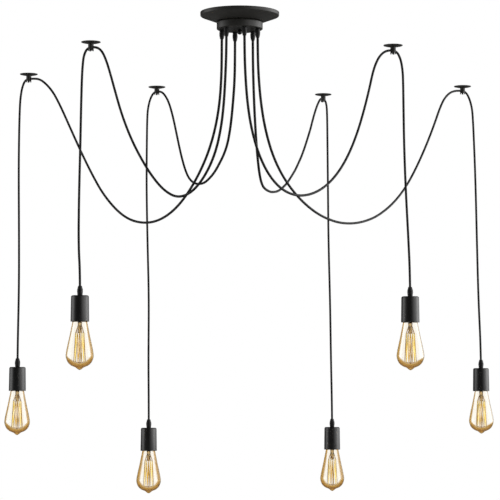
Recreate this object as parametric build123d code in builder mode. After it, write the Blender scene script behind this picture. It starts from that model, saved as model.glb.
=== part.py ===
import os
from math import cos, pi, radians, sin, sqrt, tan

from build123d import *

os.makedirs("parts", exist_ok=True)

# A six-lamp swag pendant light. Lengths are in millimetres. The ceiling is the plane z = 0,
# +Z is up, the front is towards -Y, and the origin is the centre of the canopy's rim.

# Clearances and cuts
thread_clearance = 0.05
slip_clearance = 0.3
joint_clearance = 0.3
cut_overrun = 1.0

# Cord
cord_diameter = 5.6
cord_core_diameter = 3.6
cord_bore_clearance = 0.3
cord_rise_into_cup = 10.0
cord_straight_below_cup = 46.0
bend_share = 0.45

# Canopy dish, a spun steel plate with a turned-down rim
dish_radius = 84.0
dish_rim_height = 8.0
dish_cone_drop = 12.0
dish_cone_inner_radius = 52.0
dish_opening_radius = 42.0
dish_wall = 1.2
dish_edge_radius = 2.4

# Canopy cup, seated under the dish
cup_radius = 49.0
cup_height = 17.0
cup_wall = 1.2
cup_shoulder_radius = 4.0
cup_foot_radius = 1.8

# Crossbar that screws to the ceiling box
crossbar_length = 112.0
crossbar_width = 20.0
crossbar_thickness = 2.5
crossbar_corner_radius = 4.0
crossbar_end_margin = 4.55
slot_width = 4.6
slot_length = 14.0

# Centre rod, its locknut and the ball finial
rod_radius = 3.0
rod_recess = 0.5
rod_nut_flats = 10.0
rod_nut_height = 4.5
finial_radius = 5.6
finial_neck_radius = 4.4
finial_neck_height = 1.6
finial_thread_depth = 7.5

# Round terminal block under the crossbar
terminal_radius = 17.0
terminal_bore_radius = 8.0
terminal_height = 12.0
terminal_hole_depth = 4.0
lead_bend_radius = 7.0

# Cord grips, shared shape: a threaded stem, a body and a tapered clamping nut
grip_count = 6
grip_circle_radius = 39.5
grip_first_angle = 45.0
canopy_grip_length = 19.0
canopy_grip_waist_radius = 5.6
canopy_grip_base_radius = 4.9
canopy_grip_tip_radius = 3.9
canopy_stem_radius = 4.3
canopy_stem_length = 9.0
locknut_flats = 12.0
locknut_height = 4.0
lamp_grip_length = 22.0
lamp_grip_waist_radius = 7.0
lamp_grip_base_radius = 5.8
lamp_grip_tip_radius = 4.3
lamp_stem_radius = 4.9
lamp_stem_length = 10.0
grip_waist_share = 0.52
grip_groove_width = 0.8
grip_groove_depth = 0.6

# Ceiling hooks: a shallow domed plate and a slotted stud
plate_radius = 22.5
plate_edge_height = 1.6
plate_height = 4.6
plate_dome_rise = 0.5
stud_spigot_radius = 4.0
stud_radius = 6.5
stud_length = 17.0
stud_thread_radius = 2.1
stud_thread_depth = 7.0
stud_flute_count = 10
stud_flute_radius = 0.7
stud_flute_inset = 0.25
hook_slot_width = 6.2
hook_mouth_width = 3.8
hook_lip_length = 4.4
hook_notch_width = 5.0
hook_notch_depth = 3.6
hook_cord_depth = 13.0

# Lamp holder: outer shell and the screw socket inside it
shell_height = 60.0
shell_top_radius = 20.5
shell_mouth_radius = 21.4
shell_wall = 1.4
shell_edge_radius = 3.6
socket_boss_radius = 9.5
socket_boss_height = 12.0
socket_radius = 17.0
socket_recess = 10.6
socket_edge_radius = 1.5

# Bulb: screw cap, glass and filament
bulb_length = 142.0
bulb_seat_depth = 31.0
bulb_radius = 32.0
bulb_wall = 1.0
bulb_neck_radius = 12.0
bulb_neck_overlap = 8.0
bulb_neck_drop = 1.2
cap_radius = 13.0
cap_height = 26.0
cap_wall = 0.6
cap_thread_count = 5
cap_thread_pitch = 3.6
cap_thread_depth = 0.7
cap_top_height = 4.5
contact_radius = 4.5
contact_height = 1.6
bulb_outline_shares = [
    (0.525, 0.0),
    (0.638, 0.165),
    (0.756, 0.331),
    (0.884, 0.496),
    (0.969, 0.62),
    (1.0, 0.71),
    (0.94, 0.785),
    (0.83, 0.848),
    (0.65, 0.898),
    (0.5, 0.922),
    (0.31, 0.944),
    (0.22, 0.962),
]
bulb_tip_shares = [(0.22, 0.962), (0.14, 0.982), (0.06, 0.995), (0.0, 1.0)]
stem_flare_radius = 10.6
stem_flare_height = 10.6
stem_radius = 5.0
stem_pinch_radius = 3.4
stem_length = 40.0
stem_wall = 1.2
cage_strand_count = 10
cage_wire_radius = 0.35
cage_top_radius = 10.0
cage_foot_radius = 14.0
cage_top_depth = 26.0
cage_foot_depth = 92.0
support_radius = 0.9

# Where each ceiling hook sits, which way its slot points, in degrees from +X, and where
# each lamp hangs. The lamp's height is that of the top of its cord grip.
pendants = [
    {"grip_angle": 165, "hook": (-539, 895), "heading": 150, "lamp": (-564, 909, -720)},
    {"grip_angle": 225, "hook": (-345, 389), "heading": 155, "lamp": (-368, 399, -563)},
    {"grip_angle": 105, "hook": (-224, 1126), "heading": 145, "lamp": (-243.5, 1143, -876)},
    {"grip_angle": 45, "hook": (220, 1269), "heading": 60, "lamp": (242.5, 1289, -876)},
    {"grip_angle": 285, "hook": (355, 437), "heading": 30, "lamp": (393, 451, -563)},
    {"grip_angle": 345, "hook": (582, 1115), "heading": 35, "lamp": (627.5, 1134, -720)},
]

# Each swag's route from under the canopy, through its hook, to the pivot where the drop
# starts. The two points above the first one stand over each other in the canopy's grip.
swag_routes = [
    [
        (-39, 12, -138), (-43, 20, -194), (-53, 39, -248), (-69, 71, -296), (-90, 113, -337),
        (-114, 160, -372), (-140, 211, -399), (-168, 266, -416), (-197, 322, -423),
        (-226, 378, -420), (-255, 433, -409), (-282, 486, -389), (-308, 536, -361),
        (-333, 584, -327), (-356, 629, -287), (-379, 670, -243), (-402, 709, -196),
        (-425, 746, -147), (-448, 780, -98), (-470, 812, -57), (-493, 843, -30),
        (-510, 868, -17), (-527, 888, -13), (-547, 899.5, -13), (-556, 905, -30),
        (-560.5, 908, -54), (-562.5, 909, -78),
    ],
    [
        (-30, -25, -138), (-33, -20, -194), (-39, -10, -248), (-52, 11, -302),
        (-75, 48, -347), (-104, 94, -377), (-136, 145, -384), (-167, 192, -364),
        (-196, 234, -328), (-223, 271, -283), (-248, 303, -233), (-270, 329, -176),
        (-287, 347, -118), (-301, 359, -68), (-311, 367, -39), (-320, 375, -22),
        (-332, 383, -13), (-353, 393, -13), (-362, 397, -30), (-364.5, 398.3, -54),
        (-366, 399, -78),
    ],
    [
        (-11, 46, -138), (-15, 70, -188), (-20, 108, -230), (-27, 161, -262),
        (-36, 220, -280), (-45, 281, -290), (-54, 343, -299), (-63, 405, -305),
        (-73, 467, -309), (-83, 529, -311), (-92, 590, -309), (-102, 651, -304),
        (-112, 712, -297), (-122, 772, -286), (-132, 831, -270), (-141, 887, -247),
        (-150, 937, -217), (-159, 978, -180), (-168, 1011, -138), (-178, 1041, -92),
        (-189, 1072, -52), (-200, 1097, -28), (-212.5, 1118, -13), (-232, 1131.6, -13),
        (-242, 1138, -30), (-248, 1142, -54), (-250, 1143, -78),
    ],
    [
        (29, 35, -139), (31, 46, -195), (34, 62, -250), (38, 85, -301), (43, 127, -338),
        (49, 184, -353), (56, 246, -355), (63, 308, -353), (70, 369, -350),
        (78, 430, -344), (86, 491, -337), (94, 551, -327), (102, 611, -315),
        (111, 670, -301), (119, 728, -285), (127, 786, -268), (136, 843, -249),
        (144, 900, -228), (153, 956, -205), (162, 1010, -178), (171, 1063, -148),
        (181, 1114, -114), (190, 1161, -77), (200, 1205, -43), (207, 1233, -25),
        (213, 1257, -13), (225, 1277, -13), (230, 1285, -30), (231, 1288, -54),
        (231.5, 1289, -78),
    ],
    [
        (12, -35, -138), (16, -29, -194), (24, -16, -248), (39, 7, -300), (61, 43, -343),
        (90, 90, -371), (123, 142, -380), (157, 194, -372), (190, 245, -350),
        (220, 287, -315), (245, 321, -271), (266, 348, -219), (283, 369, -163),
        (297, 386, -108), (306, 397, -67), (316, 407, -40), (328, 419, -22),
        (343, 430, -13), (363, 441.5, -13), (373, 447.5, -30), (377.5, 450, -54),
        (379, 451, -78),
    ],
    [
        (40, -6, -138), (45, 4, -194), (54, 23, -246), (68, 54, -293), (86, 96, -329),
        (107, 146, -357), (129, 198, -378), (152, 252, -394), (176, 307, -406),
        (201, 362, -413), (226, 418, -416), (251, 474, -414), (276, 530, -408),
        (301, 585, -398), (326, 639, -384), (350, 692, -365), (374, 743, -342),
        (397, 792, -314), (419, 838, -281), (440, 881, -243), (461, 921, -200),
        (481, 958, -155), (499, 991, -110), (513, 1014, -72), (527, 1039, -43),
        (543, 1067, -25), (556, 1089, -17), (570, 1107, -13), (590, 1120.5, -13),
        (601, 1128, -30), (608, 1132.5, -54), (610.5, 1134, -78),
    ],
]

# Each drop's route from below the pivot to above the lamp's cord grip
drop_routes = [
    [(-564, 909, -140), (-564.5, 909, -250), (-562.5, 909, -400), (-561.5, 909, -540), (-564, 909, -692)],
    [(-367.5, 399, -140), (-369, 399, -240), (-371.5, 399, -360), (-372, 399, -470), (-368, 399, -535)],
    [(-250.8, 1143, -140), (-251.5, 1143, -260), (-248, 1143, -420), (-244, 1143, -560),
     (-245, 1143, -720), (-243.5, 1143, -848)],
    [(232, 1289, -140), (233, 1289, -260), (234, 1289, -400), (238, 1289, -560),
     (240, 1289, -720), (242.5, 1289, -848)],
    [(379.6, 451, -140), (380.5, 451, -230), (384, 451, -340), (389, 451, -440), (393, 451, -535)],
    [(613, 1134, -140), (616.5, 1134, -250), (619, 1134, -400), (622, 1134, -560), (627.5, 1134, -692)],
]

# Sizes that follow from the ones above
cord_radius = cord_diameter / 2
cord_bore_radius = cord_radius + cord_bore_clearance
slot_spacing = crossbar_length - slot_length - 2 * crossbar_end_margin
dish_height = dish_rim_height + dish_cone_drop
canopy_floor = -(dish_height + cup_height)
cup_floor_top = canopy_floor + cup_wall
swag_top = canopy_floor + cord_rise_into_cup
swag_straight_end = canopy_floor - cord_straight_below_cup
rod_hole_radius = rod_radius + thread_clearance
terminal_top = -crossbar_thickness
lead_height = terminal_top - terminal_height / 2
socket_bore_radius = cap_radius + slip_clearance
shell_mouth = -(lamp_grip_length + shell_height)
socket_top = -(lamp_grip_length + shell_wall)
bulb_top = shell_mouth + bulb_seat_depth
bulb_tip = bulb_top - bulb_length
glass_drop = shell_mouth - bulb_tip
cap_foot = bulb_top - cap_height
glass_top = cap_foot + bulb_neck_overlap
cord_end_depth = lamp_grip_length + lamp_stem_length + cord_radius
swing_gap = cord_radius + joint_clearance
vertical = Axis((0, 0, 0), (0, 0, 1))


def save(piece, name):
    piece.label = name
    export_step(piece, f"parts/{name}.step")


def bend_radii(route):
    """Radius of the arc at each inner point of a route."""
    points = [Vector(*point) for point in route]
    radii = []
    for before, corner, after in zip(points, points[1:], points[2:]):
        run_in = corner - before
        run_out = after - corner
        shorter_run = min(run_in.length, run_out.length)
        half_turn = radians(run_in.get_angle(run_out)) / 2
        radii.append(bend_share * shorter_run / tan(half_turn))
    return radii


def upright(x, y):
    """A plane through a vertical line, with its own y along +Z, for turned profiles."""
    return Plane(origin=(x, y, 0), x_dir=(1, 0, 0), z_dir=(0, -1, 0))


def outwards(pendant):
    """Direction from the canopy's centre to the grip of one pendant's cord."""
    angle = radians(pendant["grip_angle"])
    return Vector(cos(angle), sin(angle), 0)


# Canopy dish
with BuildPart() as canopy_dish:
    with BuildSketch(Plane.XZ) as dish_section:
        with BuildLine():
            Polyline(
                (dish_radius, 0),
                (dish_radius, -dish_rim_height),
                (dish_cone_inner_radius, -dish_height),
                (dish_opening_radius, -dish_height),
                (dish_opening_radius, dish_wall - dish_height),
                (dish_cone_inner_radius, dish_wall - dish_height),
                (dish_radius - dish_wall, dish_wall - dish_rim_height),
                (dish_radius - dish_wall, 0),
                close=True,
            )
        make_face()
        inner_corners = dish_section.vertices().group_by(Axis.X)[-2]
        fillet(inner_corners.sort_by(Axis.Y)[0], dish_edge_radius - dish_wall)
        outer_corners = dish_section.vertices().group_by(Axis.X)[-1]
        fillet(outer_corners.sort_by(Axis.Y)[0], dish_edge_radius)
    revolve(axis=vertical)
    fillet(canopy_dish.edges().group_by(Axis.Z)[-1].sort_by(SortBy.RADIUS)[-1], dish_wall / 2)
save(canopy_dish.part, "canopy_dish")

# Canopy cup, with a returned flange at its top
with BuildPart() as canopy_cup:
    with BuildSketch(Plane.XZ) as cup_section:
        with BuildLine():
            Polyline(
                (dish_opening_radius, -dish_height),
                (cup_radius, -dish_height),
                (cup_radius, canopy_floor),
                (0, canopy_floor),
                (0, cup_floor_top),
                (cup_radius - cup_wall, cup_floor_top),
                (cup_radius - cup_wall, -dish_height - cup_wall),
                (dish_opening_radius, -dish_height - cup_wall),
                close=True,
            )
        make_face()
        inner_corners = cup_section.vertices().group_by(Axis.X)[-2].sort_by(Axis.Y)
        outer_corners = cup_section.vertices().group_by(Axis.X)[-1].sort_by(Axis.Y)
        fillet([inner_corners[0]], cup_foot_radius - cup_wall)
        fillet([inner_corners[-1]], cup_shoulder_radius - cup_wall)
        fillet([outer_corners[0]], cup_foot_radius)
        fillet([outer_corners[-1]], cup_shoulder_radius)
    revolve(axis=vertical)
    with BuildSketch(Plane.XY.offset(canopy_floor - cut_overrun)):
        Circle(rod_hole_radius)
        with PolarLocations(grip_circle_radius, grip_count, start_angle=grip_first_angle):
            Circle(canopy_stem_radius + thread_clearance)
    extrude(amount=cup_wall + 2 * cut_overrun, mode=Mode.SUBTRACT)
save(canopy_cup.part, "canopy_cup")

# Crossbar
with BuildPart() as crossbar:
    with BuildSketch(Plane.XY.offset(-crossbar_thickness)):
        RectangleRounded(crossbar_length, crossbar_width, crossbar_corner_radius)
        Circle(rod_hole_radius, mode=Mode.SUBTRACT)
        with GridLocations(slot_spacing, 0, 2, 1):
            SlotOverall(slot_length, slot_width, mode=Mode.SUBTRACT)
    extrude(amount=crossbar_thickness)
save(crossbar.part, "crossbar")

# Centre rod
rod_foot = canopy_floor - finial_thread_depth
with BuildPart() as centre_rod:
    with BuildSketch(Plane.XY.offset(rod_foot)):
        Circle(rod_radius)
    extrude(amount=-rod_recess - rod_foot)
save(centre_rod.part, "centre_rod")

# Locknut that holds the rod to the crossbar
with BuildPart() as rod_locknut:
    with BuildSketch(Plane.XY.offset(-crossbar_thickness - rod_nut_height)):
        RegularPolygon(rod_nut_flats / 2, 6, major_radius=False)
        Circle(rod_hole_radius, mode=Mode.SUBTRACT)
    extrude(amount=rod_nut_height)
save(rod_locknut.part, "rod_locknut")

# Ball finial that clamps the canopy up against the ceiling
finial_top = canopy_floor - joint_clearance
ball_top = finial_top - finial_neck_height
ball_centre = ball_top - sqrt(finial_radius**2 - finial_neck_radius**2)
finial_bore_radius = rod_radius + 2 * thread_clearance
finial_bore_end = rod_foot - joint_clearance
with BuildPart() as finial_ball:
    with BuildSketch(upright(0, 0)):
        with BuildLine():
            ThreePointArc(
                (finial_neck_radius, ball_top),
                (finial_radius * cos(radians(30)), ball_centre - finial_radius * sin(radians(30))),
                (0, ball_centre - finial_radius),
            )
            Polyline(
                (0, ball_centre - finial_radius),
                (0, finial_bore_end),
                (finial_bore_radius, finial_bore_end),
                (finial_bore_radius, finial_top),
                (finial_neck_radius, finial_top),
                (finial_neck_radius, ball_top),
            )
        make_face()
    revolve(axis=vertical)
save(finial_ball.part, "finial_ball")

# Terminal block, with one entry for each lamp's leads
with BuildPart() as terminal_block:
    with BuildSketch(Plane.XY.offset(terminal_top - terminal_height)):
        Circle(terminal_radius)
        Circle(terminal_bore_radius, mode=Mode.SUBTRACT)
    extrude(amount=terminal_height)
    for pendant in pendants:
        entry = outwards(pendant) * (terminal_radius + cut_overrun) + Vector(0, 0, lead_height)
        with BuildSketch(Plane(origin=entry, z_dir=-outwards(pendant))):
            Circle(cord_core_diameter / 2 + thread_clearance)
        extrude(amount=terminal_hole_depth + cut_overrun, mode=Mode.SUBTRACT)
save(terminal_block.part, "terminal_block")

# Leads from the inner end of each cord to the terminal block
lead_inner_radius = terminal_radius - terminal_hole_depth + joint_clearance
with BuildPart() as canopy_leads:
    for pendant in pendants:
        outer = outwards(pendant) * grip_circle_radius
        inner = outwards(pendant) * lead_inner_radius
        with BuildLine() as lead_path:
            FilletPolyline(
                outer + Vector(0, 0, swag_top),
                outer + Vector(0, 0, lead_height),
                inner + Vector(0, 0, lead_height),
                radius=lead_bend_radius,
            )
        with BuildSketch(Plane.XY.offset(swag_top)):
            with Locations((outer.X, outer.Y)):
                Circle(cord_core_diameter / 2)
        sweep(path=lead_path.line)
save(canopy_leads.part, "canopy_leads")


def grip_outline(sign, base, length, tip_radius, waist_radius, base_radius, stem_radius, stem_length):
    """Half section of a cord grip. sign is 1 where the cord leaves upwards, -1 downwards."""
    waist = base + sign * length * grip_waist_share
    groove_low = waist - sign * grip_groove_width / 2
    groove_high = waist + sign * grip_groove_width / 2
    stem_end = base - sign * stem_length
    Polyline(
        (cord_bore_radius, stem_end),
        (stem_radius, stem_end),
        (stem_radius, base),
        (base_radius, base),
        (waist_radius, groove_low),
        (waist_radius - grip_groove_depth, groove_low),
        (waist_radius - grip_groove_depth, groove_high),
        (waist_radius, groove_high),
        (tip_radius, base + sign * length),
        (cord_bore_radius, base + sign * length),
        close=True,
    )


# Canopy cord grips
with BuildPart() as canopy_grips:
    for pendant in pendants:
        grip = outwards(pendant) * grip_circle_radius
        with BuildSketch(upright(grip.X, grip.Y)):
            with BuildLine():
                grip_outline(
                    -1, canopy_floor, canopy_grip_length, canopy_grip_tip_radius,
                    canopy_grip_waist_radius, canopy_grip_base_radius,
                    canopy_stem_radius, canopy_stem_length,
                )
            make_face()
        revolve(axis=Axis(grip, (0, 0, 1)))
save(canopy_grips.part, "canopy_grips")

# Locknuts of the canopy grips, inside the cup
with BuildPart() as grip_locknuts:
    with BuildSketch(Plane.XY.offset(cup_floor_top)):
        with PolarLocations(grip_circle_radius, grip_count, start_angle=grip_first_angle):
            RegularPolygon(locknut_flats / 2, 6, major_radius=False)
            Circle(canopy_stem_radius + thread_clearance, mode=Mode.SUBTRACT)
    extrude(amount=locknut_height)
save(grip_locknuts.part, "grip_locknuts")

# Hook plates, flat against the ceiling and domed below
with BuildPart() as hook_plates:
    for pendant in pendants:
        hook_x, hook_y = pendant["hook"]
        with BuildSketch(upright(hook_x, hook_y)):
            with BuildLine():
                bore_top = (stud_spigot_radius + thread_clearance, 0)
                rim_foot = (plate_radius, -plate_edge_height)
                crown = (stud_radius, -plate_height)
                bore_foot = (stud_spigot_radius + thread_clearance, -plate_height)
                Polyline(crown, bore_foot, bore_top, (plate_radius, 0), rim_foot)
                dome_middle = (
                    (plate_radius + stud_radius) / 2,
                    -(plate_height + plate_edge_height) / 2 - plate_dome_rise,
                )
                ThreePointArc(rim_foot, dome_middle, crown)
            make_face()
        revolve(axis=Axis((hook_x, hook_y, 0), (0, 0, 1)))
save(hook_plates.part, "hook_plates")

# Hook studs, each with a snap-in slot for the cord, a cross notch and a threaded back
stud_foot = -plate_height - stud_length
seat_top = cord_bore_radius - hook_cord_depth
seat_foot = -cord_bore_radius - hook_cord_depth
flute_height = stud_length + cut_overrun
slot_cut_length = 2 * (stud_radius + cut_overrun)
slot_end_length = (slot_cut_length - hook_lip_length) / 2
slot_end_offset = (hook_lip_length + slot_end_length) / 2
hung_below = (Align.CENTER, Align.CENTER, Align.MAX)
with BuildPart() as hook_studs:
    for pendant in pendants:
        hook_x, hook_y = pendant["hook"]
        with BuildSketch(upright(hook_x, hook_y)):
            with BuildLine():
                Polyline(
                    (stud_thread_radius, 0),
                    (stud_spigot_radius, 0),
                    (stud_spigot_radius, -plate_height),
                    (stud_radius, -plate_height),
                    (stud_radius, stud_foot),
                    (0, stud_foot),
                    (0, -stud_thread_depth),
                    (stud_thread_radius, -stud_thread_depth),
                    close=True,
                )
            make_face()
        revolve(axis=Axis((hook_x, hook_y, 0), (0, 0, 1)))
        with Locations((hook_x, hook_y, stud_foot + stud_length / 2)):
            with PolarLocations(stud_radius + stud_flute_inset, stud_flute_count):
                Cylinder(stud_flute_radius, flute_height, mode=Mode.SUBTRACT)
        with Locations(Location((hook_x, hook_y, 0), (0, 0, pendant["heading"]))):
            with Locations((0, 0, seat_top)):
                seat_height = seat_top - seat_foot
                Box(slot_cut_length, hook_slot_width, seat_height, align=hung_below, mode=Mode.SUBTRACT)
                Box(slot_cut_length, hook_mouth_width, stud_length, align=hung_below, mode=Mode.SUBTRACT)
            with Locations((slot_end_offset, 0, seat_foot), (-slot_end_offset, 0, seat_foot)):
                Box(slot_end_length, hook_slot_width, stud_length, align=hung_below, mode=Mode.SUBTRACT)
            with Locations((0, 0, stud_foot)):
                Box(hook_notch_width, slot_cut_length, 2 * hook_notch_depth, mode=Mode.SUBTRACT)
save(hook_studs.part, "hook_studs")

# Lamp pieces are made once, with z = 0 at the top of the lamp's cord grip
with BuildPart() as lamp_grip:
    with BuildSketch(upright(0, 0)):
        with BuildLine():
            grip_outline(
                1, -lamp_grip_length, lamp_grip_length, lamp_grip_tip_radius,
                lamp_grip_waist_radius, lamp_grip_base_radius, lamp_stem_radius, lamp_stem_length,
            )
        make_face()
    revolve(axis=vertical)

with BuildPart() as holder_shell:
    with BuildSketch(upright(0, 0)) as shell_section:
        with BuildLine():
            Polyline(
                (lamp_stem_radius + thread_clearance, -lamp_grip_length),
                (shell_top_radius, -lamp_grip_length),
                (shell_mouth_radius, shell_mouth),
                (shell_mouth_radius - shell_wall, shell_mouth),
                (shell_top_radius - shell_wall, socket_top),
                (lamp_stem_radius + thread_clearance, socket_top),
                close=True,
            )
        make_face()
        outer_top_corners = shell_section.vertices().group_by(Axis.Y)[-1]
        inner_top_corners = shell_section.vertices().group_by(Axis.Y)[-2]
        fillet(inner_top_corners.sort_by(Axis.X)[-1], shell_edge_radius - shell_wall)
        fillet(outer_top_corners.sort_by(Axis.X)[-1], shell_edge_radius)
    revolve(axis=vertical)

socket_foot = shell_mouth + socket_recess
socket_shoulder = socket_top - socket_boss_height
cavity_top = bulb_top + joint_clearance
with BuildPart() as socket_insert:
    with BuildSketch(upright(0, 0)) as socket_section:
        with BuildLine():
            Polyline(
                (lamp_stem_radius + thread_clearance, socket_top),
                (socket_boss_radius, socket_top),
                (socket_boss_radius, socket_shoulder),
                (socket_radius, socket_shoulder),
                (socket_radius, socket_foot),
                (socket_bore_radius, socket_foot),
                (socket_bore_radius, cavity_top),
                (0, cavity_top),
                (0, -cord_end_depth),
                (lamp_stem_radius + thread_clearance, -cord_end_depth),
                close=True,
            )
        make_face()
        outer_corners = socket_section.vertices().group_by(Axis.X)[-1]
        fillet(outer_corners.sort_by(Axis.Y)[-1], socket_edge_radius)
    revolve(axis=vertical)

# Screw cap: a rolled shell with rounds for threads, an insulating top and a contact
cap_top = bulb_top - contact_height
thread_top = cap_top - cap_top_height
with BuildPart() as bulb_cap:
    with BuildSketch(upright(0, 0)):
        with BuildLine():
            Polyline(
                (0, bulb_top),
                (contact_radius, bulb_top),
                (contact_radius, cap_top),
                (cap_radius - cap_thread_depth, thread_top),
                (cap_radius - cap_thread_depth, cap_foot),
                (0, cap_foot),
                close=True,
            )
        make_face()
    revolve(axis=vertical)
    thread_round_radius = cap_thread_pitch / 4
    for turn in range(cap_thread_count):
        thread_height = thread_top - cap_thread_pitch * (turn + 0.5)
        with Locations((0, 0, thread_height)):
            Torus(cap_radius - thread_round_radius, thread_round_radius)
    with BuildSketch(Plane.XY.offset(cap_foot - cut_overrun)):
        Circle(bulb_neck_radius + thread_clearance)
    extrude(amount=thread_top - cap_wall - cap_foot + cut_overrun, mode=Mode.SUBTRACT)


def bulb_outline(wall):
    """Half outline of the bulb from its neck to its tip, taken in by wall."""
    radius = bulb_radius - wall
    depth = glass_drop - wall
    neck = bulb_neck_radius - wall
    side = [(r * radius, shell_mouth - z * depth) for r, z in bulb_outline_shares]
    tip = [(r * radius, shell_mouth - z * depth) for r, z in bulb_tip_shares]
    Polyline((neck, glass_top), (neck, cap_foot - bulb_neck_drop), side[0])
    Spline(*side)
    Polyline(*tip)


with BuildPart() as bulb_glass:
    with BuildSketch(upright(0, 0)):
        with BuildLine():
            bulb_outline(0)
            bulb_outline(bulb_wall)
            Line((bulb_neck_radius - bulb_wall, glass_top), (bulb_neck_radius, glass_top))
            Line((0, bulb_tip), (0, bulb_tip + bulb_wall))
        make_face()
    revolve(axis=vertical)

# Filament: a glass stem, a support rod with a button and a cage of slanted strands
stem_foot = glass_top - stem_length
cage_top = shell_mouth - cage_top_depth
cage_foot = shell_mouth - cage_foot_depth
with BuildPart() as bulb_filament:
    with BuildSketch(upright(0, 0)):
        with BuildLine():
            Polyline(
                (0, glass_top),
                (stem_flare_radius, glass_top),
                (stem_flare_radius, glass_top - stem_wall),
                (stem_radius, glass_top - stem_flare_height),
                (stem_radius, stem_foot + 2 * stem_radius),
                (stem_pinch_radius, stem_foot),
                (support_radius, stem_foot),
                (support_radius, cage_foot),
                (0, cage_foot),
                close=True,
            )
        make_face()
    revolve(axis=vertical)
    for strand in range(cage_strand_count):
        turn = 360 / cage_strand_count
        high = Vector(cage_top_radius, 0, cage_top).rotate(Axis.Z, strand * turn)
        low_turn = (strand + 0.5) * turn
        low = Vector(cage_foot_radius, 0, cage_foot + cage_wire_radius).rotate(Axis.Z, low_turn)
        hub_high = Vector(0, 0, stem_foot + stem_radius)
        hub_low = Vector(0, 0, cage_foot + cage_wire_radius)
        for start, end in ((hub_high, high), (high, low), (hub_low, low)):
            with BuildSketch(Plane(origin=start, z_dir=end - start)):
                Circle(cage_wire_radius)
            extrude(amount=(end - start).length)

lamp_forms = {
    "lamp_grip": lamp_grip,
    "holder_shell": holder_shell,
    "socket_insert": socket_insert,
    "bulb_cap": bulb_cap,
    "bulb_glass": bulb_glass,
    "bulb_filament": bulb_filament,
}

# Cords and lamps
for number, pendant in enumerate(pendants, start=1):
    grip = outwards(pendant) * grip_circle_radius
    swag_route = [(grip.X, grip.Y, swag_top), (grip.X, grip.Y, swag_straight_end)]
    swag_route += swag_routes[number - 1]
    pivot = Vector(*swag_route[-1])
    last_run = pivot - Vector(*swag_route[-2])
    swag_end = pivot - last_run.normalized() * swing_gap
    swag_route[-1] = tuple(swag_end)
    swag_radii = bend_radii(swag_route)
    with BuildPart() as swag_cord:
        with BuildLine() as swag_path:
            FilletPolyline(*swag_route, radius=swag_radii)
        with BuildSketch(Plane.XY.offset(swag_top)):
            with Locations((grip.X, grip.Y)):
                Circle(cord_radius)
        sweep(path=swag_path.line)
    save(swag_cord.part, f"swag_cord_{number}")

    lamp_x, lamp_y, lamp_z = pendant["lamp"]
    drop_route = [tuple(pivot)] + drop_routes[number - 1]
    drop_route.append((lamp_x, lamp_y, lamp_z - cord_end_depth + joint_clearance))
    drop_radii = bend_radii(drop_route)
    with BuildPart() as drop_cord:
        with BuildLine() as drop_path:
            FilletPolyline(*drop_route, radius=drop_radii)
        with BuildSketch(Plane(origin=pivot, z_dir=drop_path.line % 0)):
            Circle(cord_radius)
        sweep(path=drop_path.line)
        with Locations(pivot):
            Sphere(cord_radius)
    save(drop_cord.part, f"drop_cord_{number}")

    swag_length = swag_path.wire().length
    drop_length = drop_path.wire().length
    section = pi * cord_radius * cord_radius
    print(
        f"cord {number}: swag {swag_length:.0f} mm, drop {drop_length:.0f} mm,",
        f"volume ratios {swag_cord.part.volume / (section * swag_length):.4f}",
        f"{drop_cord.part.volume / (section * drop_length):.4f}",
    )

    for form_name, form in lamp_forms.items():
        with BuildPart() as lamp_piece:
            with Locations((lamp_x, lamp_y, lamp_z)):
                add(form.part)
        save(lamp_piece.part, f"{form_name}_{number}")
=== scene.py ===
from math import atan2, cos, pi, radians, sin, sqrt, tan

import bpy
from mathutils import Matrix, Vector


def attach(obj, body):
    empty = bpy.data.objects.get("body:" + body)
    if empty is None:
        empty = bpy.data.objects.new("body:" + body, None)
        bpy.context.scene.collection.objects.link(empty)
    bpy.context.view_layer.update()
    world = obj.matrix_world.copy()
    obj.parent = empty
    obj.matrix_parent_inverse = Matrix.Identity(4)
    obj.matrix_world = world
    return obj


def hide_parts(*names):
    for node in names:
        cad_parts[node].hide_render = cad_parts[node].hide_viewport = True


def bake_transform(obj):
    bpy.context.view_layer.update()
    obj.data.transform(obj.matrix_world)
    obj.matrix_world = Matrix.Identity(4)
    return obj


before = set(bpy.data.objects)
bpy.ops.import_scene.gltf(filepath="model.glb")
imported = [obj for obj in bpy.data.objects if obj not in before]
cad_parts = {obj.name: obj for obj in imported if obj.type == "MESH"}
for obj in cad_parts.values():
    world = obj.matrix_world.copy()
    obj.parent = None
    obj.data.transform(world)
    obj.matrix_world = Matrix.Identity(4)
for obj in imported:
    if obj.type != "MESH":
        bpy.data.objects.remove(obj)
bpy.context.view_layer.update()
print("frame loaded")

# The camera of the photograph: it stands under the canopy's height and looks a little upwards
camera = {
    "place": (0.0219, -4.642, -0.8182),
    "pitch": 3.83,  # degrees above level
    "lens": 158.4,  # mm
    "sensor": 36,  # mm
    "reach": 100,  # how far it sees
}

cameraData = bpy.data.cameras.new("camera")
cameraData.lens = camera["lens"]
cameraData.sensor_width = camera["sensor"]
cameraData.clip_end = camera["reach"]
cameraObject = bpy.data.objects.new("camera", cameraData)
cameraObject.location = camera["place"]
cameraObject.rotation_euler = (radians(90 + camera["pitch"]), 0, 0)
bpy.context.collection.objects.link(cameraObject)
bpy.context.scene.camera = cameraObject
bpy.context.scene.view_settings.view_transform = "Standard"

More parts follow.
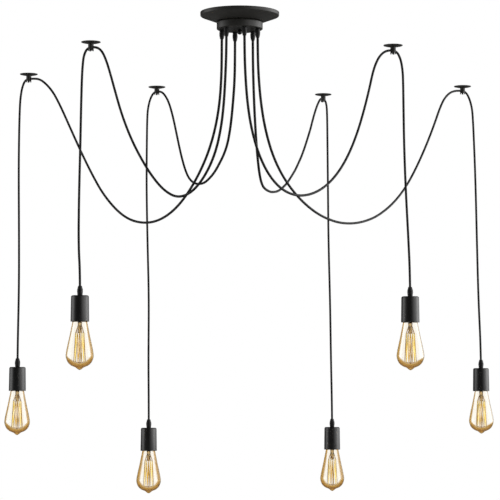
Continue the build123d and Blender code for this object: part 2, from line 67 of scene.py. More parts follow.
# Each lamp's cord: the points that it follows from the canopy over its ceiling hook to the bend where
# it starts to swing, and on down to the lamp. Metres, as in the solids. The grip's angle, in degrees,
# is its place on the canopy, and the lamp's place is the top of its own cord grip. The amber pair says
# how far the bulb's amber reaches in from its left and its right outline; the extra amber on one side
# is a painted reflection.
pendants = [
    {
        "gripAngle": 165, "lustre": (-0.12, 0.05),
        "hook": (-0.539, 0.895), "lamp": (-0.564, 0.909, -0.72),
        "swag": [
            (-0.039, 0.012, -0.138), (-0.043, 0.02, -0.194), (-0.053, 0.039, -0.248),
            (-0.069, 0.071, -0.296), (-0.09, 0.113, -0.337), (-0.114, 0.16, -0.372),
            (-0.14, 0.211, -0.399), (-0.168, 0.266, -0.416), (-0.197, 0.322, -0.423),
            (-0.226, 0.378, -0.42), (-0.255, 0.433, -0.409), (-0.282, 0.486, -0.389),
            (-0.308, 0.536, -0.361), (-0.333, 0.584, -0.327), (-0.356, 0.629, -0.287),
            (-0.379, 0.67, -0.243), (-0.402, 0.709, -0.196), (-0.425, 0.746, -0.147),
            (-0.448, 0.78, -0.098), (-0.47, 0.812, -0.057), (-0.493, 0.843, -0.03),
            (-0.51, 0.868, -0.017), (-0.527, 0.888, -0.013), (-0.547, 0.8995, -0.013),
            (-0.556, 0.905, -0.03), (-0.5605, 0.908, -0.054), (-0.5625, 0.909, -0.078),
        ],
        "drop": [
            (-0.564, 0.909, -0.14), (-0.5645, 0.909, -0.25), (-0.5625, 0.909, -0.4),
            (-0.5615, 0.909, -0.54), (-0.564, 0.909, -0.692),
        ],
    },
    {
        "gripAngle": 225, "lustre": (-0.2, 0.06),
        "hook": (-0.345, 0.389), "lamp": (-0.368, 0.399, -0.563),
        "swag": [
            (-0.03, -0.025, -0.138), (-0.033, -0.02, -0.194), (-0.039, -0.01, -0.248),
            (-0.052, 0.011, -0.302), (-0.075, 0.048, -0.347), (-0.104, 0.094, -0.377),
            (-0.136, 0.145, -0.384), (-0.167, 0.192, -0.364), (-0.196, 0.234, -0.328),
            (-0.223, 0.271, -0.283), (-0.248, 0.303, -0.233), (-0.27, 0.329, -0.176),
            (-0.287, 0.347, -0.118), (-0.301, 0.359, -0.068), (-0.311, 0.367, -0.039),
            (-0.32, 0.375, -0.022), (-0.332, 0.383, -0.013), (-0.353, 0.393, -0.013),
            (-0.362, 0.397, -0.03), (-0.3645, 0.3983, -0.054), (-0.366, 0.399, -0.078),
        ],
        "drop": [
            (-0.3675, 0.399, -0.14), (-0.369, 0.399, -0.24), (-0.3715, 0.399, -0.36),
            (-0.372, 0.399, -0.47), (-0.368, 0.399, -0.535),
        ],
    },
    {
        "gripAngle": 105, "lustre": (0.1, 0.1),
        "hook": (-0.224, 1.126), "lamp": (-0.2435, 1.143, -0.876),
        "swag": [
            (-0.011, 0.046, -0.138), (-0.015, 0.07, -0.188), (-0.02, 0.108, -0.23),
            (-0.027, 0.161, -0.262), (-0.036, 0.22, -0.28), (-0.045, 0.281, -0.29),
            (-0.054, 0.343, -0.299), (-0.063, 0.405, -0.305), (-0.073, 0.467, -0.309),
            (-0.083, 0.529, -0.311), (-0.092, 0.59, -0.309), (-0.102, 0.651, -0.304),
            (-0.112, 0.712, -0.297), (-0.122, 0.772, -0.286), (-0.132, 0.831, -0.27),
            (-0.141, 0.887, -0.247), (-0.15, 0.937, -0.217), (-0.159, 0.978, -0.18),
            (-0.168, 1.011, -0.138), (-0.178, 1.041, -0.092), (-0.189, 1.072, -0.052),
            (-0.2, 1.097, -0.028), (-0.2125, 1.118, -0.013), (-0.232, 1.1316, -0.013),
            (-0.242, 1.138, -0.03), (-0.248, 1.142, -0.054), (-0.25, 1.143, -0.078),
        ],
        "drop": [
            (-0.2508, 1.143, -0.14), (-0.2515, 1.143, -0.26), (-0.248, 1.143, -0.42),
            (-0.244, 1.143, -0.56), (-0.245, 1.143, -0.72), (-0.2435, 1.143, -0.848),
        ],
    },
    {
        "gripAngle": 45, "lustre": (0.1, 0.1),
        "hook": (0.22, 1.269), "lamp": (0.2425, 1.289, -0.876),
        "swag": [
            (0.029, 0.035, -0.139), (0.031, 0.046, -0.195), (0.034, 0.062, -0.25),
            (0.038, 0.085, -0.301), (0.043, 0.127, -0.338), (0.049, 0.184, -0.353),
            (0.056, 0.246, -0.355), (0.063, 0.308, -0.353), (0.07, 0.369, -0.35),
            (0.078, 0.43, -0.344), (0.086, 0.491, -0.337), (0.094, 0.551, -0.327),
            (0.102, 0.611, -0.315), (0.111, 0.67, -0.301), (0.119, 0.728, -0.285),
            (0.127, 0.786, -0.268), (0.136, 0.843, -0.249), (0.144, 0.9, -0.228),
            (0.153, 0.956, -0.205), (0.162, 1.01, -0.178), (0.171, 1.063, -0.148),
            (0.181, 1.114, -0.114), (0.19, 1.161, -0.077), (0.2, 1.205, -0.043),
            (0.207, 1.233, -0.025), (0.213, 1.257, -0.013), (0.225, 1.277, -0.013),
            (0.23, 1.285, -0.03), (0.231, 1.288, -0.054), (0.2315, 1.289, -0.078),
        ],
        "drop": [
            (0.232, 1.289, -0.14), (0.233, 1.289, -0.26), (0.234, 1.289, -0.4),
            (0.238, 1.289, -0.56), (0.24, 1.289, -0.72), (0.2425, 1.289, -0.848),
        ],
    },
    {
        "gripAngle": 285, "lustre": (0.03, -0.33),
        "hook": (0.355, 0.437), "lamp": (0.393, 0.451, -0.563),
        "swag": [
            (0.012, -0.035, -0.138), (0.016, -0.029, -0.194), (0.024, -0.016, -0.248),
            (0.039, 0.007, -0.3), (0.061, 0.043, -0.343), (0.09, 0.09, -0.371),
            (0.123, 0.142, -0.38), (0.157, 0.194, -0.372), (0.19, 0.245, -0.35), (0.22, 0.287, -0.315),
            (0.245, 0.321, -0.271), (0.266, 0.348, -0.219), (0.283, 0.369, -0.163),
            (0.297, 0.386, -0.108), (0.306, 0.397, -0.067), (0.316, 0.407, -0.04),
            (0.328, 0.419, -0.022), (0.343, 0.43, -0.013), (0.363, 0.4415, -0.013),
            (0.373, 0.4475, -0.03), (0.3775, 0.45, -0.054), (0.379, 0.451, -0.078),
        ],
        "drop": [
            (0.3796, 0.451, -0.14), (0.3805, 0.451, -0.23), (0.384, 0.451, -0.34),
            (0.389, 0.451, -0.44), (0.393, 0.451, -0.535),
        ],
    },
    {
        "gripAngle": 345, "lustre": (0.02, -0.33),
        "hook": (0.582, 1.115), "lamp": (0.6275, 1.134, -0.72),
        "swag": [
            (0.04, -0.006, -0.138), (0.045, 0.004, -0.194), (0.054, 0.023, -0.246),
            (0.068, 0.054, -0.293), (0.086, 0.096, -0.329), (0.107, 0.146, -0.357),
            (0.129, 0.198, -0.378), (0.152, 0.252, -0.394), (0.176, 0.307, -0.406),
            (0.201, 0.362, -0.413), (0.226, 0.418, -0.416), (0.251, 0.474, -0.414),
            (0.276, 0.53, -0.408), (0.301, 0.585, -0.398), (0.326, 0.639, -0.384),
            (0.35, 0.692, -0.365), (0.374, 0.743, -0.342), (0.397, 0.792, -0.314),
            (0.419, 0.838, -0.281), (0.44, 0.881, -0.243), (0.461, 0.921, -0.2),
            (0.481, 0.958, -0.155), (0.499, 0.991, -0.11), (0.513, 1.014, -0.072),
            (0.527, 1.039, -0.043), (0.543, 1.067, -0.025), (0.556, 1.089, -0.017),
            (0.57, 1.107, -0.013), (0.59, 1.1205, -0.013), (0.601, 1.128, -0.03),
            (0.608, 1.1325, -0.054), (0.6105, 1.134, -0.078),
        ],
        "drop": [
            (0.613, 1.134, -0.14), (0.6165, 1.134, -0.25), (0.619, 1.134, -0.4),
            (0.622, 1.134, -0.56), (0.6275, 1.134, -0.692),
        ],
    },
]

cordSizes = {
    "diameter": 0.0056,
    "gripCircle": 0.0395,  # the canopy's cord grips stand on this radius
    "top": -0.027,  # where the cord ends inside the cup
    "exit": -0.056,  # where it leaves the grip
    "straightEnd": -0.083,
    "intoLamp": 0.0345,  # how far it runs into the lamp, from the top of the lamp's grip
    "sides": 14,
    "splineSteps": 7,
    "bendHalfLength": 0.009,  # half of the stretch that bends when the lamp swings
    "bendSlope": 35,  # degrees below level in which that stretch runs
    "uvPerMetre": 33,  # a unit of the UV map is about 30 mm of cord
    "lay": 2,  # the cores inside go once round in that many units, about 61 mm
    "grainsPerUnit": 40,  # about 0.76 mm long, coarser than real ones so that they show
}


def fromHex(code):  # an sRGB hex colour as the linear values that Blender wants
    channels = [int(code[i : i + 2], 16) / 255 for i in (1, 3, 5)]
    linear = [c / 12.92 if c <= 0.04045 else ((c + 0.055) / 1.055) ** 2.4 for c in channels]
    return (*linear, 1)


def addNode(tree, kind, settings=None, links=None):
    node = tree.nodes.new(kind)
    for name, value in (settings or {}).items():
        if isinstance(name, int) or name in node.inputs:
            node.inputs[name].default_value = value
        else:
            setattr(node, name, value)
    for name, socket in (links or {}).items():
        tree.links.new(socket, node.inputs[name])
    return node


def newMaterial(name, settings):  # a Principled material, its tree and its shader
    material = bpy.data.materials.new(name)
    material.use_nodes = True
    tree = material.node_tree
    tree.nodes.clear()
    shader = addNode(tree, "ShaderNodeBsdfPrincipled", settings)
    addNode(tree, "ShaderNodeOutputMaterial", None, {"Surface": shader.outputs[0]})
    return material, tree, shader


def aboutAxis(radius, angle, height):  # a point that far from the Z axis, the angle in radians
    return (radius * cos(angle), radius * sin(angle), height)


def perMetre(millimetres):  # a noise scale whose grains are that many millimetres wide
    return 1000 / millimetres


def mottled(tree, shader, low, high, grainWidth, detail):  # a cloudy colour between two hex values
    space = addNode(tree, "ShaderNodeTexCoord")
    cloud = addNode(
        tree,
        "ShaderNodeTexNoise",
        {"Scale": perMetre(grainWidth), "Detail": detail},
        {"Vector": space.outputs["Object"]},
    )
    shade = addNode(tree, "ShaderNodeValToRGB", None, {"Fac": cloud.outputs["Fac"]})
    shade.color_ramp.elements[0].color = fromHex(low)
    shade.color_ramp.elements[1].color = fromHex(high)
    tree.links.new(shade.outputs[0], shader.inputs["Base Color"])
    return cloud


def seenDirectly(tree):  # 1 where the camera looks, also where it looks through glass
    rays = addNode(tree, "ShaderNodeLightPath")
    return addNode(
        tree,
        "ShaderNodeMath",
        {"operation": "MAXIMUM"},
        {0: rays.outputs["Is Camera Ray"], 1: rays.outputs["Is Transmission Ray"]},
    )


def addObject(name, mesh, material, body=None):
    piece = bpy.data.objects.new(name, mesh)
    bpy.context.collection.objects.link(piece)
    mesh.materials.clear()
    mesh.materials.append(material)
    if body:
        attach(piece, body)
    return piece


# Black PVC cord sheath: extruded, dull, with a faint ripple from the cores twisted inside it
cordSheath, tree, shader = newMaterial("blackPvcSheath", {"IOR": 1.5, "Specular IOR Level": 0.35})
uv = addNode(tree, "ShaderNodeUVMap", {"uv_map": "cordUv"})
lay = addNode(
    tree, "ShaderNodeMapping", {"Scale": (cordSizes["lay"], 1, 1)}, {"Vector": uv.outputs[0]}
)
# At this scale a band comes every 19 mm along the cord, as from three cores with that lay
twist = addNode(
    tree,
    "ShaderNodeTexWave",
    {"bands_direction": "DIAGONAL", "Scale": 1.0, "Distortion": 0.0},
    {"Vector": lay.outputs[0]},
)
grain = addNode(
    tree,
    "ShaderNodeTexNoise",
    {"Scale": cordSizes["grainsPerUnit"], "Detail": 3},
    {"Vector": uv.outputs[0]},
)
shade = addNode(tree, "ShaderNodeValToRGB", None, {"Fac": grain.outputs["Fac"]})
shade.color_ramp.elements[0].color = fromHex("#101010")
shade.color_ramp.elements[1].color = fromHex("#161616")
tree.links.new(shade.outputs[0], shader.inputs["Base Color"])
dull = addNode(
    tree, "ShaderNodeMapRange", {"To Min": 0.48, "To Max": 0.66}, {"Value": grain.outputs["Fac"]}
)
tree.links.new(dull.outputs[0], shader.inputs["Roughness"])
ripple = addNode(
    tree, "ShaderNodeBump", {"Strength": 0.04, "Distance": 0.0001}, {"Height": twist.outputs["Fac"]}
)
tree.links.new(ripple.outputs[0], shader.inputs["Normal"])


def cordLine(name, points):  # points read from the NURBS spline of a route
    curve = bpy.data.curves.new(name, "CURVE")
    curve.dimensions = "3D"
    spline = curve.splines.new("NURBS")
    spline.points.add(len(points) - 1)
    for knot, place in zip(spline.points, points):
        knot.co = (*place, 1)
    spline.order_u = 3
    spline.use_endpoint_u = True
    spline.resolution_u = cordSizes["splineSteps"]
    carrier = bpy.data.objects.new(name, curve)
    bpy.context.collection.objects.link(carrier)
    bpy.context.view_layer.update()
    evaluated = carrier.evaluated_get(bpy.context.evaluated_depsgraph_get())
    line = bpy.data.meshes.new_from_object(evaluated)
    places = [vertex.co.copy() for vertex in line.vertices]
    bpy.data.objects.remove(carrier)
    bpy.data.meshes.remove(line)
    return places


def cordTube(name, places, radius, sides):  # a closed tube, its UV running round it and along it
    ring = [(cos(2 * pi * i / sides), sin(2 * pi * i / sides)) for i in range(sides)]
    across = Vector((1, 0, 0))
    vertices = []
    lengths = [0]
    for i, place in enumerate(places):
        before = places[max(i - 1, 0)]
        after = places[min(i + 1, len(places) - 1)]
        along = (after - before).normalized()
        across = (across - along * across.dot(along)).normalized()
        up = along.cross(across)
        vertices += [place + (across * c + up * s) * radius for c, s in ring]
        if i:
            lengths.append(lengths[-1] + (place - before).length)
    faces = []
    for i in range(len(places) - 1):
        for j in range(sides):
            k = (j + 1) % sides
            faces.append((i * sides + j, i * sides + k, (i + 1) * sides + k, (i + 1) * sides + j))
    last = (len(places) - 1) * sides
    faces.append(tuple(range(sides - 1, -1, -1)))
    faces.append(tuple(range(last, last + sides)))
    mesh = bpy.data.meshes.new(name)
    mesh.from_pydata(vertices, [], faces)
    layer = mesh.uv_layers.new(name="cordUv")
    for face in mesh.polygons:
        for n, corner in enumerate(face.loop_indices):
            i, j = divmod(mesh.loops[corner].vertex_index, sides)
            if len(face.vertices) == 4 and j == 0 and n in (1, 2):
                j = sides  # the last face of a ring ends at 1, where the next one starts at 0
            layer.data[corner].uv = (j / sides, lengths[i] * cordSizes["uvPerMetre"])
    mesh.shade_smooth()
    return mesh, lengths[-1]


for number, pendant in enumerate(pendants, start=1):
    start = aboutAxis(cordSizes["gripCircle"], radians(pendant["gripAngle"]), 0)[:2]
    lampX, lampY, lampZ = pendant["lamp"]
    route = [(*start, cordSizes["top"]), (*start, cordSizes["straightEnd"])]
    route += pendant["swag"] + pendant["drop"]
    route.append((lampX, lampY, lampZ - cordSizes["intoLamp"]))
    places = cordLine(f"cord_{number}", route)
    radius = cordSizes["diameter"] / 2
    mesh, length = cordTube(f"cord_{number}", places, radius, cordSizes["sides"])
    cord = addObject(f"cord_{number}", mesh, cordSheath)
    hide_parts(f"swag_cord_{number}", f"drop_cord_{number}")
    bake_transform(cord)
print("cords made")

# Surroundings: a pale floor well below the lamps, white all round, and large soft lamps
surroundings = {
    "floorHeight": -1.75,
    "floorSize": 14.0,
    "floorSetback": 1,  # how far behind the canopy its middle lies
    "floorWhite": "#f4f4f2",
    "floorInGloss": "#808080",
    "floorGlow": 0.55,  # lifts the paper to the white around it
    "ambient": 0.6,  # how strongly the surroundings light the object
    "frontGloss": 0.03,  # what black paint reflects where the studio is dark
    "leftGloss": 0.5,
    "leftWallFrom": -0.75,  # the X of the direction in which the wall begins, full at -1
    "rightGloss": 1.7,
    "rightWallFrom": 0.2,  # the same on the right, full at 1
    "lamps": [
        {"name": "leftSoftbox", "place": (-3.4, 0.9, -0.3), "size": (2.2, 2.4), "power": 20},
        {"name": "rightSoftbox", "place": (3.4, 1.2, -0.3), "size": (2.4, 2.6), "power": 30},
    ],
    "aim": (0, 0.7, -0.55),
}

world = bpy.data.worlds.new("studio")
bpy.context.scene.world = world
world.use_nodes = True
tree = world.node_tree
tree.nodes.clear()
rays = addNode(tree, "ShaderNodeLightPath")
direction = addNode(tree, "ShaderNodeTexCoord")
axes = addNode(tree, "ShaderNodeSeparateXYZ", None, {"Vector": direction.outputs["Generated"]})
# What gloss shows: a dark studio with a broad bright wall on the right and a weaker one on the left
rightWall = addNode(
    tree,
    "ShaderNodeMapRange",
    {
        "From Min": surroundings["rightWallFrom"], "From Max": 1.0,
        "To Min": surroundings["frontGloss"], "To Max": surroundings["rightGloss"],
        "interpolation_type": "SMOOTHSTEP",
    },
    {"Value": axes.outputs["X"]},
)
leftWall = addNode(
    tree,
    "ShaderNodeMapRange",
    {
        "From Min": surroundings["leftWallFrom"], "From Max": -1.0,
        "To Min": 0.0, "To Max": surroundings["leftGloss"],
        "interpolation_type": "SMOOTHSTEP",
    },
    {"Value": axes.outputs["X"]},
)
reflected = addNode(
    tree, "ShaderNodeMath", {"operation": "ADD"}, {0: rightWall.outputs[0], 1: leftWall.outputs[0]}
)
lit = addNode(
    tree,
    "ShaderNodeMix",
    {"data_type": "FLOAT", "A": surroundings["ambient"]},
    {"Factor": rays.outputs["Is Glossy Ray"], "B": reflected.outputs[0]},
)
strength = addNode(
    tree,
    "ShaderNodeMix",
    {"data_type": "FLOAT", "B": 1.0},
    {"Factor": seenDirectly(tree).outputs[0], "A": lit.outputs[0]},
)
sky = addNode(
    tree, "ShaderNodeBackground", {"Color": (1, 1, 1, 1)}, {"Strength": strength.outputs[0]}
)
addNode(tree, "ShaderNodeOutputWorld", None, {"Surface": sky.outputs[0]})

# Floor: matt white paper sweep, bright enough to meet the white around it and still take a shadow.
# Gloss shows it dimmer, as the black screens under the canopy would make it.
floorPaper, tree, shader = newMaterial("whitePaper", {"Roughness": 0.9, "Specular IOR Level": 0.0})
rays = addNode(tree, "ShaderNodeLightPath")
paper = addNode(
    tree, "ShaderNodeMix", {"data_type": "RGBA"}, {"Factor": rays.outputs["Is Glossy Ray"]}
)
paper.inputs[6].default_value = fromHex(surroundings["floorWhite"])  # colour A
paper.inputs[7].default_value = fromHex(surroundings["floorInGloss"])  # colour B
tree.links.new(paper.outputs[2], shader.inputs["Base Color"])
raised = addNode(
    tree,
    "ShaderNodeMath",
    {"operation": "MULTIPLY", 1: surroundings["floorGlow"]},
    {0: seenDirectly(tree).outputs[0]},
)
shader.inputs["Emission Color"].default_value = (1, 1, 1, 1)
tree.links.new(raised.outputs[0], shader.inputs["Emission Strength"])
half = surroundings["floorSize"] / 2
floorCorners = [
    (x * half, y * half + surroundings["floorSetback"], surroundings["floorHeight"])
    for x, y in ((-1, -1), (1, -1), (1, 1), (-1, 1))
]
floorMesh = bpy.data.meshes.new("floor")
floorMesh.from_pydata(floorCorners, [], [(0, 1, 2, 3)])
addObject("floor", floorMesh, floorPaper)

for lamp in surroundings["lamps"]:
    light = bpy.data.lights.new(lamp["name"], "AREA")
    light.shape = "RECTANGLE"
    light.size, light.size_y = lamp["size"]
    light.energy = lamp["power"]
    softbox = bpy.data.objects.new(lamp["name"], light)
    softbox.location = lamp["place"]
    aim = Vector(surroundings["aim"]) - Vector(lamp["place"])
    softbox.rotation_euler = aim.to_track_quat("-Z", "Y").to_euler()
    bpy.context.collection.objects.link(softbox)
print("studio made")

# Black powder coat: the lamp holders' is a little glossier than the ceiling parts'
coats = {
    "canopyPowderCoat": {
        "low": "#272624", "high": "#2f2e2b", "specular": 0.45, "rough": (0.34, 0.46),
    },
    "holderPowderCoat": {
        "low": "#0c0b0b", "high": "#121110", "specular": 0.85, "rough": (0.3, 0.4),
    },
    "peelWidth": 2.5,  # mm; the peel is about 0.8 mm wide, drawn coarser so that it shows
    "cloudWidth": 40,  # mm
}


def powderCoat(name, coat):  # fine orange peel over a cloudy satin black
    settings = {"IOR": 1.5, "Specular IOR Level": coat["specular"]}
    material, tree, shader = newMaterial(name, settings)
    cloud = mottled(
        tree, shader, coat["low"], coat["high"], grainWidth=coats["cloudWidth"], detail=4
    )
    space = addNode(tree, "ShaderNodeTexCoord")
    peel = addNode(
        tree,
        "ShaderNodeTexNoise",
        {"Scale": perMetre(coats["peelWidth"]), "Detail": 2},
        {"Vector": space.outputs["Object"]},
    )
    smooth, dull = coat["rough"]
    satin = addNode(
        tree, "ShaderNodeMapRange", {"To Min": smooth, "To Max": dull}, {"Value": cloud.outputs["Fac"]}
    )
    tree.links.new(satin.outputs[0], shader.inputs["Roughness"])
    bump = addNode(
        tree, "ShaderNodeBump", {"Strength": 0.1, "Distance": 0.0002}, {"Height": peel.outputs["Fac"]}
    )
    tree.links.new(bump.outputs[0], shader.inputs["Normal"])
    return material


canopyCoat = powderCoat("canopyPowderCoat", coats["canopyPowderCoat"])
holderCoat = powderCoat("holderPowderCoat", coats["holderPowderCoat"])

# Gloss black lacquer on the turned ball: close to a mirror, its polish a little uneven
glossLacquer, tree, shader = newMaterial(
    "blackGlossLacquer", {"IOR": 1.5, "Specular IOR Level": 0.6, "Base Color": fromHex("#0d0d0d")}
)
space = addNode(tree, "ShaderNodeTexCoord")
wear = addNode(
    tree, "ShaderNodeTexNoise", {"Scale": perMetre(3), "Detail": 3}, {"Vector": space.outputs["Object"]}
)
polish = addNode(
    tree, "ShaderNodeMapRange", {"To Min": 0.08, "To Max": 0.2}, {"Value": wear.outputs["Fac"]}
)
tree.links.new(polish.outputs[0], shader.inputs["Roughness"])

# Moulded black nylon of the cord grips: dull, with a spark-eroded grain, which is drawn 1.2 mm
# wide so that it shows
mouldedNylon, tree, shader = newMaterial(
    "blackMouldedNylon", {"IOR": 1.53, "Specular IOR Level": 0.4, "Roughness": 0.5}
)
grain = mottled(tree, shader, "#111111", "#1b1b1b", grainWidth=1.2, detail=2)
bump = addNode(
    tree, "ShaderNodeBump", {"Strength": 0.2, "Distance": 0.0001}, {"Height": grain.outputs["Fac"]}
)
tree.links.new(bump.outputs[0], shader.inputs["Normal"])

# Zinc-plated steel of the hidden bar, rod and nuts: cold, cloudy, half bright
zincSteel, tree, shader = newMaterial("zincPlatedSteel", {"Metallic": 1.0})
cloud = mottled(tree, shader, "#a9abac", "#c9cac6", grainWidth=6, detail=5)
brightness = addNode(
    tree, "ShaderNodeMapRange", {"To Min": 0.28, "To Max": 0.45}, {"Value": cloud.outputs["Fac"]}
)
tree.links.new(brightness.outputs[0], shader.inputs["Roughness"])

# Cream urea moulding of the terminal block: dull, faintly mottled
creamUrea, tree, shader = newMaterial("creamUreaMoulding", {"IOR": 1.55, "Roughness": 0.45})
mottled(tree, shader, "#cfc6b2", "#ddd6c6", grainWidth=4, detail=3)

# Black phenolic of the sockets: pressed, dark brown-black, half dull
phenolic, tree, shader = newMaterial("blackPhenolic", {"IOR": 1.6, "Roughness": 0.4})
mottled(tree, shader, "#120f0d", "#1f1a17", grainWidth=2, detail=3)

# Rolled brass of the bulbs' caps: warm, half bright, with a light tarnish
rolledBrass, tree, shader = newMaterial("rolledBrass", {"Metallic": 1.0, "Roughness": 0.3})
mottled(tree, shader, "#b08d4a", "#d3b46e", grainWidth=5, detail=4)

nodeMaterials = {
    "canopy_dish": canopyCoat, "canopy_cup": canopyCoat, "hook_plates": canopyCoat,
    "hook_studs": canopyCoat, "finial_ball": glossLacquer, "canopy_grips": mouldedNylon,
    "crossbar": zincSteel, "centre_rod": zincSteel, "rod_locknut": zincSteel,
    "grip_locknuts": zincSteel, "terminal_block": creamUrea, "canopy_leads": cordSheath,
    "holder_shell": holderCoat, "lamp_grip": mouldedNylon, "socket_insert": phenolic,
    "bulb_cap": rolledBrass,
}
for name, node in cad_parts.items():
    material = nodeMaterials.get(name) or nodeMaterials.get(name[:-2])  # without its lamp's number
    if material:
        for place in node.material_slots:
            place.material = material
print("solids finished")


def eased(points, steps):  # more points on a smooth line through the given ones
    out = []
    for i in range(len(points) - 1):
        p0 = Vector(points[max(i - 1, 0)])
        p1, p2 = Vector(points[i]), Vector(points[i + 1])
        p3 = Vector(points[min(i + 2, len(points) - 1)])
        for step in range(steps):
            t = step / steps
            square = 2 * p0 - 5 * p1 + 4 * p2 - p3
            cube = 3 * p1 - p0 - 3 * p2 + p3
            out.append(0.5 * (2 * p1 + (p2 - p0) * t + square * t * t + cube * t * t * t))
    out.append(Vector(points[-1]))
    return out


def turned(name, profile, sides, closed=False, poleRadius=1e-6):
    # (radius, height) points turned about Z, where one within poleRadius of it makes a pole
    vertices, rows = [], []
    for radius, height in profile:
        if radius < poleRadius:
            rows.append([len(vertices)] * sides)
            vertices.append((0, 0, height))
        else:
            rows.append(list(range(len(vertices), len(vertices) + sides)))
            vertices += [aboutAxis(radius, 2 * pi * i / sides, height) for i in range(sides)]
    faces = []
    pairs = list(zip(rows, rows[1:])) + ([(rows[-1], rows[0])] if closed else [])
    for upper, lower in pairs:
        for i in range(sides):
            k = (i + 1) % sides
            face = [upper[i], lower[i], lower[k], upper[k]]
            if upper[0] == upper[1]:
                face = [upper[i], lower[i], lower[k]]
            elif lower[0] == lower[1]:
                face = [upper[i], lower[i], upper[k]]
            if len(set(face)) > 2:
                faces.append(face)
    mesh = bpy.data.meshes.new(name)
    mesh.from_pydata(vertices, [], faces)
    mesh.shade_smooth()
    return mesh


def joined(name, meshes):  # one mesh from several
    vertices, faces = [], []
    for mesh in meshes:
        first = len(vertices)
        vertices += [tuple(v.co) for v in mesh.vertices]
        faces += [[first + i for i in face.vertices] for face in mesh.polygons]
    made = bpy.data.meshes.new(name)
    made.from_pydata(vertices, [], faces)
    made.shade_smooth()
    return made


def roundedLine(points, steps=5):  # an outline; a point's third number is its corner's radius
    out = []
    for i, point in enumerate(points):
        corner = Vector(point[:2])
        if len(point) < 3:
            out.append(tuple(corner))
            continue
        before = (Vector(points[i - 1][:2]) - corner).normalized()
        after = (Vector(points[(i + 1) % len(points)][:2]) - corner).normalized()
        half = before.angle(after) / 2
        centre = corner + (before + after).normalized() * point[2] / sin(half)
        first = corner + before * point[2] / tan(half) - centre
        last = corner + after * point[2] / tan(half) - centre
        for step in range(steps + 1):
            spoke = first.lerp(last, step / steps).normalized() * point[2]
            out.append(tuple(centre + spoke))
    return out


def placed(mesh, places):  # one mesh with a copy at each place
    copies = []
    for place in places:
        copy = mesh.copy()
        copy.transform(Matrix.Translation(place))
        copies.append(copy)
    return joined(mesh.name, copies)


def softened(mesh, angle=35):  # smooth faces, with sharp edges where the surface really turns
    mesh.shade_smooth()
    mesh.set_sharp_from_angle(angle=radians(angle))
    return mesh


# Canopy dish: a spun plate with a turned-down rim
dish = {
    "radius": 0.084,
    "rim": 0.008,
    "height": 0.02,
    "flatRadius": 0.052,
    "opening": 0.042,
    "wall": 0.0012,
    "edge": 0.0024,
    "lip": 0.0005,  # corner radius where the rim meets the ceiling
    "fold": 0.003,  # corner radius between the cone and the flat
    "sides": 128,
}
wall = dish["wall"]
dishLine = roundedLine(
    [
        (dish["radius"], 0, dish["lip"]),
        (dish["radius"], -dish["rim"], dish["edge"]),
        (dish["flatRadius"], -dish["height"], dish["fold"]),
        (dish["opening"], -dish["height"]),
        (dish["opening"], wall - dish["height"]),
        (dish["flatRadius"], wall - dish["height"], dish["fold"]),
        (dish["radius"] - wall, wall - dish["rim"], dish["edge"] - wall),
        (dish["radius"] - wall, 0),
    ]
)
form = softened(turned("canopyDish", dishLine, dish["sides"], closed=True))
piece = addObject("canopyDish", form, canopyCoat, "ceiling_set")
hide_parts("canopy_dish")

# Canopy cup: drawn, with a soft shoulder, a small foot radius and a returned flange
cup = {
    "radius": 0.049, "height": 0.017, "wall": 0.0012, "shoulder": 0.004, "foot": 0.0018,
    "sides": 112,
}
wall = cup["wall"]
cupTop = -dish["height"]
cupFloor = cupTop - cup["height"]
cupLine = roundedLine(
    [
        (dish["opening"], cupTop),
        (cup["radius"], cupTop, cup["shoulder"]),
        (cup["radius"], cupFloor, cup["foot"]),
        (0, cupFloor),
        (0, cupFloor + wall),
        (cup["radius"] - wall, cupFloor + wall, cup["foot"] - wall),
        (cup["radius"] - wall, cupTop - wall, cup["shoulder"] - wall),
        (dish["opening"], cupTop - wall),
    ]
)
form = softened(turned("canopyCup", cupLine, cup["sides"], closed=True))
piece = addObject("canopyCup", form, canopyCoat, "ceiling_set")
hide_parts("canopy_cup")

# Ball finial: turned and lacquered, on a short neck
ball = {
    "radius": 0.0056, "neck": 0.0044, "neckHeight": 0.0016, "bore": 0.0031,
    "boreFoot": -0.0448,  # the height at which the rod's hole ends
    "gap": 0.0003,  # under the cup
    "steps": 16, "sides": 48,
}
neckTop = cupFloor - ball["gap"]
ballTop = neckTop - ball["neckHeight"]
ballCentre = ballTop - sqrt(ball["radius"] ** 2 - ball["neck"] ** 2)
firstAngle = atan2(ballTop - ballCentre, ball["neck"])
ballLine = [(ball["neck"], neckTop)]
for step in range(ball["steps"] + 1):
    angle = firstAngle - (firstAngle + pi / 2) * step / ball["steps"]
    ballLine.append((ball["radius"] * max(cos(angle), 0), ballCentre + ball["radius"] * sin(angle)))
ballLine += [(0, ball["boreFoot"]), (ball["bore"], ball["boreFoot"]), (ball["bore"], neckTop)]
form = softened(turned("finialBall", ballLine, ball["sides"], closed=True))
piece = addObject("finialBall", form, glossLacquer, "finial")
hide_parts("finial_ball")

# Cord grips: a stem through the hole, then a body and a tapered clamping nut, with a groove
# between the two
canopyGrip = {
    "length": 0.019, "waist": 0.0056, "base": 0.0049, "tip": 0.0039, "bore": 0.0031,
    "stem": 0.0043, "stemLength": 0.009, "groove": 0.0008, "grooveDepth": 0.0006,
    "waistShare": 0.52, "edge": 0.0005, "sides": 36,
}
lampGrip = {
    "length": 0.022, "waist": 0.007, "base": 0.0058, "tip": 0.0043, "bore": 0.0031,
    "stem": 0.0049, "stemLength": 0.01, "groove": 0.0008, "grooveDepth": 0.0006,
    "waistShare": 0.52, "edge": 0.0006, "sides": 40,
}


